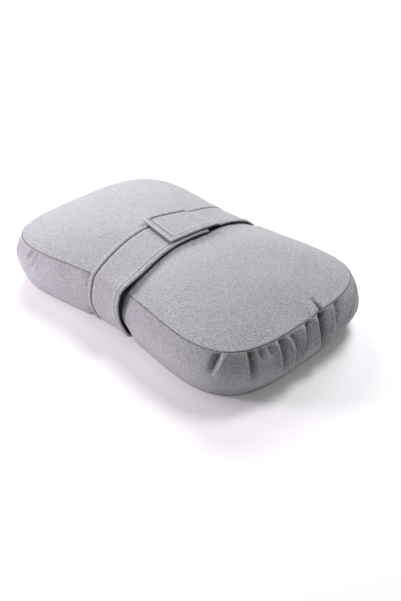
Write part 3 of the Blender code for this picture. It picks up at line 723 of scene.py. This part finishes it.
class StrapShape:
    """The strap as a flat band of s along and u across (-1 to 1), wrapped on its route."""

    def __init__(self, cushion, strap):
        self.strap = strap
        self.route = StrapRoute(cushion)
        table = dict(zip(STRAP_COLUMNS, np.array(STRAP_TABLE, float).T))
        self.knots = table["turn"] * self.route.length + table["along"] * MM
        self.centres, self.widths = table["centre"] * MM, table["width"] * MM
        self.start, self.end = LOWER_END, self.route.length + OVERLAP
        self.fine = np.linspace(self.start - 20 * MM, self.end + 20 * MM, FINE_POINTS)
        self.slope = np.gradient(eased(self.fine, self.knots, self.centres), self.fine)

    def place(self, s, u):
        """Flat coordinates to the route: x = centre + u w/2 cos a, and s shifts by -u w/2 sin a."""
        centre, width = eased(s, self.knots, self.centres), eased(s, self.knots, self.widths)
        slope = np.interp(s, self.fine, self.slope)
        half, lean = u * width / 2, np.sqrt(1.0 + slope ** 2)
        return centre + half / lean, s - half * slope / lean

    def lift(self, s, u):
        """Height over the route: the upper layer steps over the lower one, the +X edge curls up by
        a fourth power of u, and stands off further at the near shoulder."""
        begins = self.route.length + LOWER_END - STEP_LENGTH
        layer = LAYER_RISE * smooth_step((s - begins) / (STEP_LENGTH * STEP_SLOPE_SHARE))
        near = SHOULDER_GAP * bump(s - SHOULDER_GAP_AT, SHOULDER_GAP_LENGTH) * ((1.0 + u) / 2) ** 2
        height = self.route.read(s)[1]
        curl = RIM_LIFT * smooth_step((height - RIM_LIFT_FROM) / RIM_LIFT_OVER) * ((1.0 + u) / 2) ** 4
        return layer + near + curl

    def wrinkles(self, s, u):
        """Small wrinkles: each a long rounded bump turned by its slant."""
        relief = np.zeros(np.broadcast(s, u).shape)
        half = eased(s, self.knots, self.widths) / 2
        for row in WRINKLES:
            fold = dict(zip(WRINKLE_COLUMNS, row))
            dx = u * half / MM + fold["across"]
            ds = (s - fold["turn"] * self.route.length) / MM - fold["along"]
            turn = math.radians(fold["slant"])
            far = ds * math.cos(turn) + dx * math.sin(turn)
            side = -ds * math.sin(turn) + dx * math.cos(turn)
            shape = bump(far, fold["length"]) * bump(side, fold["half_width"])
            relief = relief + fold["height"] * MM * shape
        return relief

    def edge(self, s, u):
        """Distance to the nearest edge: a rounded minimum, -c log(e^(-a/c) + e^(-b/c))."""
        half = eased(s, self.knots, self.widths) / 2
        side = (1.0 - np.abs(u)) * half
        end = np.minimum(s - self.start, self.end - s)
        near = -HEM_CORNER * np.log(np.exp(-side / HEM_CORNER) + np.exp(-end / HEM_CORNER))
        return np.maximum(near + HEM_CORNER_GAIN, 0.0)

    def groove(self, s, u):
        """Stitched groove inside the hem, a bump across it."""
        return bump(self.edge(s, u) - self.strap.hem_width, GROOVE_HALF_WIDTH)

    def thickness(self, s, u, side):
        """Half the cloth's thickness from the distance to the nearest edge: a rolled hem, half an
        ellipse across, then a stitched groove, then the body, which rounds up from it."""
        strap = self.strap
        edge = self.edge(s, u)
        half_hem = strap.hem_width / 2
        roll = np.sqrt(np.clip(1.0 - (edge / half_hem - 1.0) ** 2, 0.0, 1.0))
        roll = roll * (strap.hem_thickness / 2 + max(side, 0.0) * HEM_PUFF)
        body = smooth_step((edge - half_hem) / half_hem)
        risen = smooth_step((edge - strap.hem_width) / BODY_RISES_OVER)
        body = strap.body_thickness / 2 * body * (BODY_AT_GROOVE + (1.0 - BODY_AT_GROOVE) * risen)
        return np.maximum(roll, body) - GROOVE_DEPTH * self.groove(s, u)

    def surface(self, s, u, side):
        """Points of the outer (side 1) or inner (side -1) face."""
        x, turned = self.place(s, u)
        y, z, normal_y, normal_z = self.route.read(turned)
        out = self.lift(s, u) + side * self.thickness(s, u, side) + self.wrinkles(s, u)
        ripple = RIPPLE_HEIGHT * np.sin(2 * math.pi * s / STITCH_PITCH)
        from_hem = (1.0 - np.abs(u)) * STRAP_HALF_WIDTH - self.strap.hem_width / 2
        out = out + side * ripple * bump(from_hem, RIPPLE_HALF_WIDTH)
        return np.stack([x, y + normal_y * out, z + normal_z * out], axis=-1)


def build_strap(cushion, strap):
    """Strap as one closed band: outer face, rims, inner face and both ends."""
    shape = StrapShape(cushion, strap)
    length = shape.end - shape.start
    close = np.linspace(0.0, STRAP_EDGE_ZONE, END_STATIONS)[:-1]
    middle = np.linspace(STRAP_EDGE_ZONE, length - STRAP_EDGE_ZONE, MIDDLE_STATIONS)
    s = shape.start + np.concatenate([close, middle, length - close[::-1]])
    rim = 1.0 - np.linspace(0.0, STRAP_EDGE_ZONE, EDGE_POINTS + 1)[:-1] / STRAP_HALF_WIDTH
    inner = np.linspace(rim[-1] - MIDDLE_FROM_EDGE, 0.0, MIDDLE_POINTS)
    half = np.concatenate([rim, inner])
    u = np.concatenate([-half, half[-2::-1]])
    grid_s, grid_u = np.meshgrid(s, u, indexing="ij")
    outer = shape.surface(grid_s, grid_u, 1.0)
    lower = shape.surface(grid_s, grid_u, -1.0)[:, -2:0:-1]
    rows = np.concatenate([outer, lower], axis=1)
    count, around = rows.shape[:2]
    faces = grid_faces(count, around, True).tolist()
    across = len(u)
    for row, flip in ((0, False), (count - 1, True)):
        base = row * around
        for i in range(across - 1):
            corners = [base + i, base + i + 1, base + (around - i - 1) % around,
                       base + (around - i) % around]
            corners = list(dict.fromkeys(corners))
            faces.append(corners[::-1] if flip else corners)
    # Painted highlights along the hem's roll and beside its groove, painted shade in the groove and
    # over the whole inner face
    edge = shape.edge(grid_s, grid_u)
    crest = EDGE_LINE_SHADE * bump(edge - EDGE_LINE_PLACE, LINE_HALF_WIDTH)
    crest += BODY_LINE_SHADE * bump(edge - strap.hem_width - BODY_LINE_PLACE, LINE_HALF_WIDTH)
    painted_shading = GROOVE_SHADE * shape.groove(grid_s, grid_u) - crest
    painted_shading = np.concatenate([painted_shading, np.full(lower.shape[:2], INNER_SHADE)], axis=1)
    piece = mesh_object("strap_band", rows.reshape(-1, 3), faces, painted_shading.ravel())
    return piece, shape, length


def thread_rows(centres, along, up, across):
    """Stitches: rings of a stretched bead, radius r sqrt(1 - t^2), arched into the cloth."""
    t = np.linspace(-STITCH_TIP, STITCH_TIP, STITCH_RINGS)
    angle = np.arange(STITCH_SIDES) * 2 * math.pi / STITCH_SIDES
    radius = STITCH_RADIUS * np.sqrt(1.0 - t ** 2)[:, None]
    sideways = radius * np.cos(angle)
    height = radius * np.sin(angle) - STITCH_ARCH * (t ** 2)[:, None]
    forward = np.broadcast_to((t * STITCH_LENGTH / 2)[:, None], sideways.shape)
    return (centres[:, None, None, :]
            + along[:, None, None, :] * forward[None, :, :, None]
            + across[:, None, None, :] * sideways[None, :, :, None]
            + up[:, None, None, :] * height[None, :, :, None])


def build_stitching(shape, strap):
    """Topstitching along both hems and across the free end, on the strap's outer face."""
    lines = []
    inset = strap.hem_width
    stations = np.arange(shape.start + inset, shape.end - inset, STITCH_PITCH)
    for side in (-1.0, 1.0):
        half = eased(stations, shape.knots, shape.widths) / 2
        lines.append((stations, side * (1.0 - inset / half)))
    half_end = shape.widths[-1] / 2
    across = np.arange(-half_end + inset + STITCH_PITCH, half_end - inset, STITCH_PITCH) / half_end
    lines.append((np.full(len(across), shape.end - inset), across))
    every = []
    for s, u in lines:
        centre = shape.surface(s, u, 1.0)
        step_s = shape.surface(s + STEP_ALONG, u, 1.0) - centre
        step_u = shape.surface(s, u + STEP_ACROSS, 1.0) - centre
        if np.ptp(s) < STITCH_PITCH:
            step_s, step_u = step_u, -step_s
        along = step_s / np.linalg.norm(step_s, axis=1, keepdims=True)
        up = np.cross(step_u, step_s)
        up /= np.linalg.norm(up, axis=1, keepdims=True)
        up *= np.sign(((centre - MIDDLE) * up).sum(axis=1, keepdims=True))
        every.append(thread_rows(centre + up * STITCH_PROUD, along, up, np.cross(along, up)))
    rows = np.concatenate(every)
    count = len(rows)
    ring = grid_faces(STITCH_RINGS, STITCH_SIDES, True)
    size = STITCH_RINGS * STITCH_SIDES
    faces = (ring[None] + (np.arange(count) * size)[:, None, None]).reshape(-1, 4).tolist()
    for start in range(0, count * size, size):
        faces.append(list(range(start, start + STITCH_SIDES))[::-1])
        faces.append(list(range(start + size - STITCH_SIDES, start + size)))
    return mesh_object("strap_stitching", rows.reshape(-1, 3), faces)


class Nodes:
    """Short way to lay out a material's nodes."""

    def __init__(self, name):
        self.material = bpy.data.materials.new(name)
        self.material.use_nodes = True
        self.tree = self.material.node_tree
        self.shader = self.tree.nodes["Principled BSDF"]
        self.place = self.tree.nodes.new("ShaderNodeTexCoord").outputs["Object"]

    def add(self, kind, settings=None, **inputs):
        node = self.tree.nodes.new(kind)
        for key, value in (settings or {}).items():
            setattr(node, key, value)
        for key, value in inputs.items():
            self.set(node.inputs[key.replace("_", " ")], value)
        return node

    def set(self, socket, value):
        if isinstance(value, bpy.types.NodeSocket):
            self.tree.links.new(value, socket)
        else:
            socket.default_value = value

    def noise(self, scale, detail=2.0, rough=0.5, distortion=0.0):
        node = self.add("ShaderNodeTexNoise", Vector=self.place, Scale=scale, Detail=detail,
                        Roughness=rough, Distortion=distortion)
        return node.outputs["Fac"]

    def between(self, value, low, high, new_low, new_high):
        node = self.add("ShaderNodeMapRange", Value=value, From_Min=low, From_Max=high,
                        To_Min=new_low, To_Max=new_high)
        return node.outputs["Result"]

    def mix(self, factor, first, second, blend="MIX"):
        node = self.tree.nodes.new("ShaderNodeMix")
        node.data_type, node.blend_type = "RGBA", blend
        for index, value in ((0, factor), (6, first), (7, second)):
            self.set(node.inputs[index], value)
        return node.outputs[2]

    def shades(self, value, low, high, colour, tints):
        """Colour that goes from its darker to its lighter tint as a value goes from low to high."""
        return self.mix(self.between(value, low, high, 0.0, 1.0),
                        tint(colour, tints[0]), tint(colour, tints[1]))

    def raised(self, height, distance, strength, before=None):
        node = self.add("ShaderNodeBump", Height=height, Distance=distance, Strength=strength)
        if before is not None:
            self.set(node.inputs["Normal"], before)
        return node.outputs["Normal"]


def tint(colour, factor):
    """Colour made lighter or darker by a factor."""
    return (colour[0] * factor, colour[1] * factor, colour[2] * factor, 1.0)


def plush(name, colour):
    """Short-pile plush: brushed patches, small tufts and a fine grain, in colour and in relief."""
    made = Nodes(name)
    brushed = made.noise(BRUSHED_SIZE, 3.0, 0.55, 0.8)
    tufts = made.noise(TUFT_SIZE, 3.0, 0.6)
    grain = made.noise(GRAIN_SIZE, 2.0, 0.6)
    patches = made.shades(brushed, 0.3, 0.7, colour, BRUSHED_TINTS)
    flecks = made.shades(grain, 0.3, 0.7, WHITE, GRAIN_TINTS)
    spots = made.shades(tufts, 0.32, 0.68, WHITE, TUFT_TINTS)
    pile = made.mix(1.0, made.mix(1.0, patches, flecks, "MULTIPLY"), spots, "MULTIPLY")
    # The attribute's painted shade darkens the pile and its painted highlight lightens it
    painted_shading = made.add("ShaderNodeAttribute", {"attribute_name": PAINTED_SHADING}).outputs["Fac"]
    for share in (made.between(painted_shading, 0.0, 1.0, 1.0, CREVICE_SHADE),
                  made.between(painted_shading, -1.0, 0.0, CREST_SHADE, 1.0)):
        pile = made.mix(1.0, pile, share, "MULTIPLY")
    made.set(made.shader.inputs["Base Color"], pile)
    made.set(made.shader.inputs["Roughness"], made.between(tufts, 0.2, 0.8, 0.84, 0.98))
    made.shader.inputs["Sheen Weight"].default_value = 0.25
    made.shader.inputs["Sheen Roughness"].default_value = 0.45
    made.shader.inputs["Sheen Tint"].default_value = SHEEN_TINT
    made.shader.inputs["Specular IOR Level"].default_value = 0.25
    soft = made.raised(tufts, TUFT_RELIEF, 1.0)
    made.set(made.shader.inputs["Normal"], made.raised(grain, GRAIN_RELIEF, 0.6, soft))
    return made.material


def thread(name, colour):
    """Matt sewing thread with fine twisted plies."""
    made = Nodes(name)
    twist = made.noise(THREAD_TWIST_SIZE, 1.0, 0.4, 1.2)
    made.set(made.shader.inputs["Base Color"], made.shades(twist, 0.3, 0.7, colour, (0.85, 1.08)))
    made.set(made.shader.inputs["Roughness"], made.between(twist, 0.3, 0.7, 0.5, 0.7))
    made.set(made.shader.inputs["Normal"], made.raised(twist, 0.1 * MM, 0.5))
    return made.material


def plain_floor(name, colour):
    """Plain pale stage with a barely uneven matt surface."""
    made = Nodes(name)
    cloudy = made.noise(3.0, 2.0)
    made.set(made.shader.inputs["Base Color"], made.shades(cloudy, 0.3, 0.7, colour, (0.995, 1.0)))
    made.set(made.shader.inputs["Roughness"], made.between(cloudy, 0.3, 0.7, 0.8, 0.85))
    made.shader.inputs["Emission Color"].default_value = (*WHITE, 1.0)
    made.shader.inputs["Emission Strength"].default_value = FLOOR_GLOW
    return made.material


class CushionSizes(bpy.types.PropertyGroup):
    """Sizes and colour of the cushion."""

    length: bpy.props.FloatProperty(
        name="Length", description="Cushion length", default=0.390, unit="LENGTH")
    width: bpy.props.FloatProperty(
        name="Width", description="Cushion width", default=0.240, unit="LENGTH")
    crown_height: bpy.props.FloatProperty(
        name="Crown height", description="Height of the crown", default=0.081, unit="LENGTH")
    seam_height: bpy.props.FloatProperty(
        name="Seam height", description="Height of the top seam", default=0.0558, unit="LENGTH")
    waist_depth: bpy.props.FloatProperty(
        name="Waist depth", description="Share of the width taken in at the waist", default=0.157)
    gather_strength: bpy.props.FloatProperty(
        name="Gathers", description="Strength of the side band's gathers", default=1.0)
    colour: bpy.props.FloatVectorProperty(
        name="Colour", description="Plush colour", default=(0.508, 0.522, 0.536), subtype="COLOR")


class StrapSizes(bpy.types.PropertyGroup):
    """Sizes and colours of the strap."""

    body_thickness: bpy.props.FloatProperty(
        name="Body thickness", description="Cloth thickness", default=0.0024, unit="LENGTH")
    hem_thickness: bpy.props.FloatProperty(
        name="Hem thickness", description="Thickness of the bound edge", default=0.0034, unit="LENGTH")
    hem_width: bpy.props.FloatProperty(
        name="Hem width", description="Width of the bound edge", default=0.0068, unit="LENGTH")
    colour: bpy.props.FloatVectorProperty(
        name="Colour", description="Strap colour", default=(0.490, 0.501, 0.515), subtype="COLOR")
    thread_colour: bpy.props.FloatVectorProperty(
        name="Thread", description="Thread colour", default=(0.30, 0.30, 0.315), subtype="COLOR")


class StageSizes(bpy.types.PropertyGroup):
    """Floor, lights and camera."""

    floor_size: bpy.props.FloatProperty(
        name="Floor size", description="Side of the floor", default=14.0, unit="LENGTH")
    floor_colour: bpy.props.FloatVectorProperty(
        name="Floor colour", description="Floor colour", default=(0.93, 0.93, 0.93), subtype="COLOR")
    azimuth: bpy.props.FloatProperty(
        name="Azimuth", description="Camera azimuth in degrees", default=44.08)
    elevation: bpy.props.FloatProperty(
        name="Elevation", description="Camera elevation in degrees", default=34.64)
    distance: bpy.props.FloatProperty(
        name="Distance", description="Camera distance", default=0.9270, unit="LENGTH")
    aim: bpy.props.FloatVectorProperty(
        name="Aim", description="Point the camera looks at", default=(0.0334, -0.0013, 0.0055))
    lens: bpy.props.FloatProperty(
        name="Lens", description="Focal length in millimetres", default=48.91)


class KNEEPILLOW_OT_cover(bpy.types.Operator):
    """Make the plush cover with its crown, seams and gathers"""

    bl_idname = "kneepillow.cover"
    bl_label = "Make Cover"

    def execute(self, context):
        sizes = context.scene.kneepillow_cushion
        piece = build_cover(sizes, context.scene.kneepillow_strap)
        piece.data.materials.append(plush("plush_cover", sizes.colour))
        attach(piece, "root")
        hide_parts("pillow")
        return {"FINISHED"}


class KNEEPILLOW_OT_strap(bpy.types.Operator):
    """Make the bound strap round the waist, its ends lapped on top, and its topstitching"""

    bl_idname = "kneepillow.strap"
    bl_label = "Make Strap"

    def execute(self, context):
        cushion, strap = context.scene.kneepillow_cushion, context.scene.kneepillow_strap
        piece, shape, length = build_strap(cushion, strap)
        piece.data.materials.append(plush("plush_strap", strap.colour))
        stitching = build_stitching(shape, strap)
        stitching.data.materials.append(thread("strap_thread", strap.thread_colour))
        for made in (piece, stitching):
            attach(made, "root")
        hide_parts("strap")
        return {"FINISHED"}


class KNEEPILLOW_OT_stage(bpy.types.Operator):
    """Make the pale floor, the soft lights and the camera"""

    bl_idname = "kneepillow.stage"
    bl_label = "Make Stage"

    def execute(self, context):
        stage = context.scene.kneepillow_stage
        half = stage.floor_size / 2
        corners = np.array([[-half, -half, 0], [half, -half, 0], [half, half, 0], [-half, half, 0]])
        floor = mesh_object("floor", corners, [[0, 1, 2, 3]])
        floor.data.materials.append(plain_floor("floor_paint", stage.floor_colour))
        for row in LAMPS:
            self.add_light(dict(zip(LAMP_COLUMNS, row)))
        self.add_world(context.scene)
        self.add_camera(context.scene, stage)
        context.scene.view_settings.view_transform = "Standard"
        return {"FINISHED"}

    @staticmethod
    def add_light(lamp):
        data = bpy.data.lights.new(lamp["name"], "AREA")
        data.shape, data.size, data.energy = "DISK", lamp["size"], lamp["power"]
        data.color = lamp["colour"]
        piece = bpy.data.objects.new(lamp["name"], data)
        piece.matrix_world = looking(np.array(lamp["place"]), MIDDLE)
        bpy.context.scene.collection.objects.link(piece)

    @staticmethod
    def add_world(scene):
        world = bpy.data.worlds.new("studio")
        world.use_nodes = True
        shade = world.node_tree.nodes["Background"]
        shade.inputs["Color"].default_value = (*WHITE, 1.0)
        shade.inputs["Strength"].default_value = WORLD_STRENGTH
        scene.world = world

    @staticmethod
    def add_camera(scene, stage):
        turn, tilt = math.radians(stage.azimuth), math.radians(stage.elevation)
        back = np.array([math.sin(turn) * math.cos(tilt), -math.cos(turn) * math.cos(tilt),
                         math.sin(tilt)])
        aim = np.array(stage.aim)
        camera = bpy.data.objects.new("camera", bpy.data.cameras.new("camera"))
        camera.data.lens = stage.lens
        camera.matrix_world = looking(aim + back * stage.distance, aim)
        scene.collection.objects.link(camera)
        scene.camera = camera


def looking(place, aim):
    """Matrix that puts a lamp or a camera at a place, looking at an aim, upright."""
    back = (place - aim) / np.linalg.norm(place - aim)
    right = np.cross([0.0, 0.0, 1.0], back)
    right /= np.linalg.norm(right)
    up = np.cross(back, right)
    matrix = np.eye(4)
    matrix[:3, 0], matrix[:3, 1], matrix[:3, 2], matrix[:3, 3] = right, up, back, place
    return Matrix(matrix.tolist())


class KNEEPILLOW_PT_sidebar(bpy.types.Panel):
    """Lists the steps that make the knee pillow"""

    bl_idname = "KNEEPILLOW_PT_sidebar"
    bl_label = "Knee Pillow"
    bl_space_type = "VIEW_3D"
    bl_region_type = "UI"
    bl_category = "Knee Pillow"

    def draw(self, context):
        for group in ("kneepillow_cushion", "kneepillow_strap", "kneepillow_stage"):
            settings = getattr(context.scene, group)
            for name in settings.__annotations__:
                self.layout.prop(settings, name)
        for step in STEPS:
            self.layout.operator("kneepillow." + step)


STEPS = ("cover", "strap", "stage")
GROUPS = {
    "kneepillow_cushion": CushionSizes,
    "kneepillow_strap": StrapSizes,
    "kneepillow_stage": StageSizes,
}
CLASSES = (*GROUPS.values(), KNEEPILLOW_OT_cover, KNEEPILLOW_OT_strap, KNEEPILLOW_OT_stage,
           KNEEPILLOW_PT_sidebar)


def register():
    for item in CLASSES:
        bpy.utils.register_class(item)
    for name, group in GROUPS.items():
        setattr(bpy.types.Scene, name, bpy.props.PointerProperty(type=group))


def unregister():
    for name in GROUPS:
        delattr(bpy.types.Scene, name)
    for item in reversed(CLASSES):
        bpy.utils.unregister_class(item)


def main():
    register()
    for step in STEPS:
        getattr(bpy.ops.kneepillow, step)()


if __name__ == "__main__":
    main()
